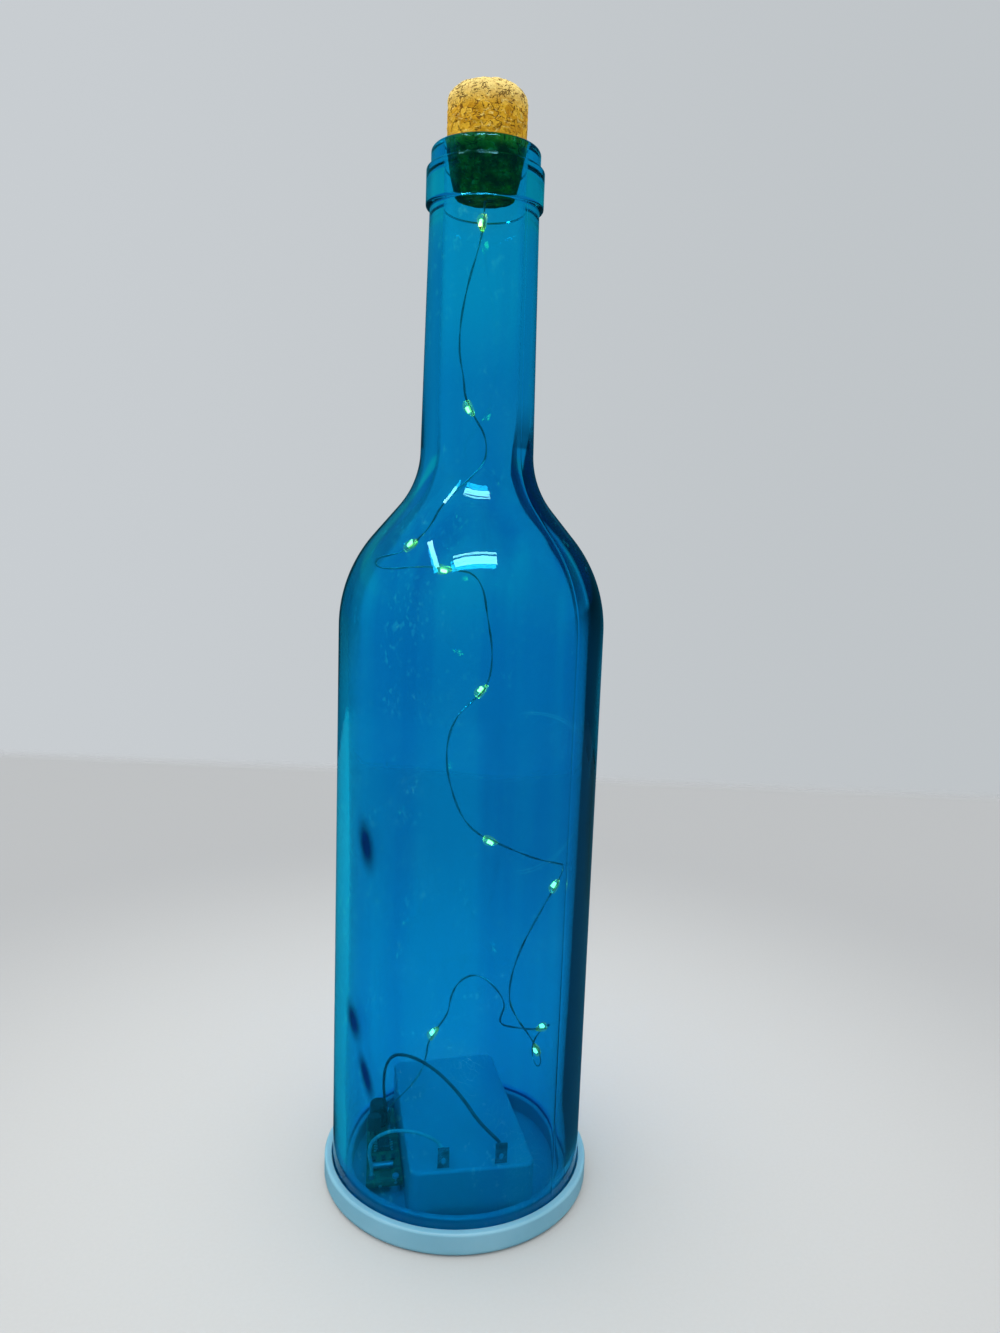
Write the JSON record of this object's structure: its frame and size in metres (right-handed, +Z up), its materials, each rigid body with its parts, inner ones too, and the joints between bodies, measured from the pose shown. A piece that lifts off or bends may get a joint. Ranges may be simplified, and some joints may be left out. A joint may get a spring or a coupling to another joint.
{
  "type": "bottle light",
  "caption": "Blue glass wine bottle with a cork stopper, glued into a battery tray, holding a string of warm white drop LEDs.",
  "frame": {"origin": "on the table, under the bottle's axis", "axes": "+Z up along the bottle's axis, -Y towards the solder tabs of the battery box"},
  "size_m": [0.0808, 0.0808, 0.3143],
  "materials": {
    "blue_glass": "clear blue bottle glass",
    "cork": "agglomerated cork",
    "milky_plastic": "translucent moulded plastic",
    "clear_glue": "translucent glue",
    "cell_sleeve": "plain printed sleeve",
    "plated_steel": "nickel plated",
    "green_board": "solder mask",
    "black_epoxy": "moulded epoxy",
    "tinned_metal": "tinned",
    "black_sleeve": "shrink sleeve",
    "dark_ceramic": "coated ceramic",
    "black_plastic": "moulded",
    "grey_insulation": "soft insulation",
    "solder": "tin solder",
    "enamelled_copper": "enamelled copper",
    "clear_epoxy": "clear epoxy drop",
    "lit_chip": "lit warm-white chip"
  },
  "bodies": {
    "lamp": {"bottle": "blue_glass", "base_tray": "milky_plastic", "adhesive_ring": "clear_glue", "battery_left": "cell_sleeve", "battery_right": "cell_sleeve", "terminal_positive": "plated_steel", "terminal_negative": "plated_steel", "link_plate": "plated_steel", "spring_front": "plated_steel", "spring_rear": "plated_steel", "circuit_board": "green_board", "timer_chip": "black_epoxy", "chip_pins": "tinned_metal", "capacitor": "black_sleeve", "transistor": "black_epoxy", "crystal": "tinned_metal", "resistors": "dark_ceramic", "switch_body": "tinned_metal", "lead_positive": "grey_insulation", "lead_negative": "grey_insulation", "solder_joints": "solder", "light_wire": "enamelled_copper", "led_drop_01": "clear_epoxy", "led_drop_02": "clear_epoxy", "led_drop_03": "clear_epoxy", "led_drop_04": "clear_epoxy", "led_drop_05": "clear_epoxy", "led_drop_06": "clear_epoxy", "led_drop_07": "clear_epoxy", "led_drop_08": "clear_epoxy", "led_drop_09": "clear_epoxy", "led_drop_10": "clear_epoxy", "led_chip_01": "lit_chip", "led_chip_02": "lit_chip", "led_chip_03": "lit_chip", "led_chip_04": "lit_chip", "led_chip_05": "lit_chip", "led_chip_06": "lit_chip", "led_chip_07": "lit_chip", "led_chip_08": "lit_chip", "led_chip_09": "lit_chip", "led_chip_10": "lit_chip"},
    "cork": {"cork": "cork"},
    "door": {"battery_door": "milky_plastic"},
    "switch": {"switch_slider": "black_plastic"}
  },
  "joints": [
    {"name": "cork_lift", "type": "slide", "parent": "lamp", "child": "cork", "axis": [0, 0, 1], "range_m": [0, 0.03], "deforming": ["light_wire"]},
    {"name": "door_swing", "type": "hinge", "parent": "lamp", "child": "door", "pos_m": [0, 0.0275, 0.0012], "axis": [1, 0, 0], "range_deg": [0, 80]},
    {"name": "switch_slide", "type": "slide", "parent": "lamp", "child": "switch", "axis": [0, 1, 0], "range_m": [-0.002, 0.002]}
  ]
}
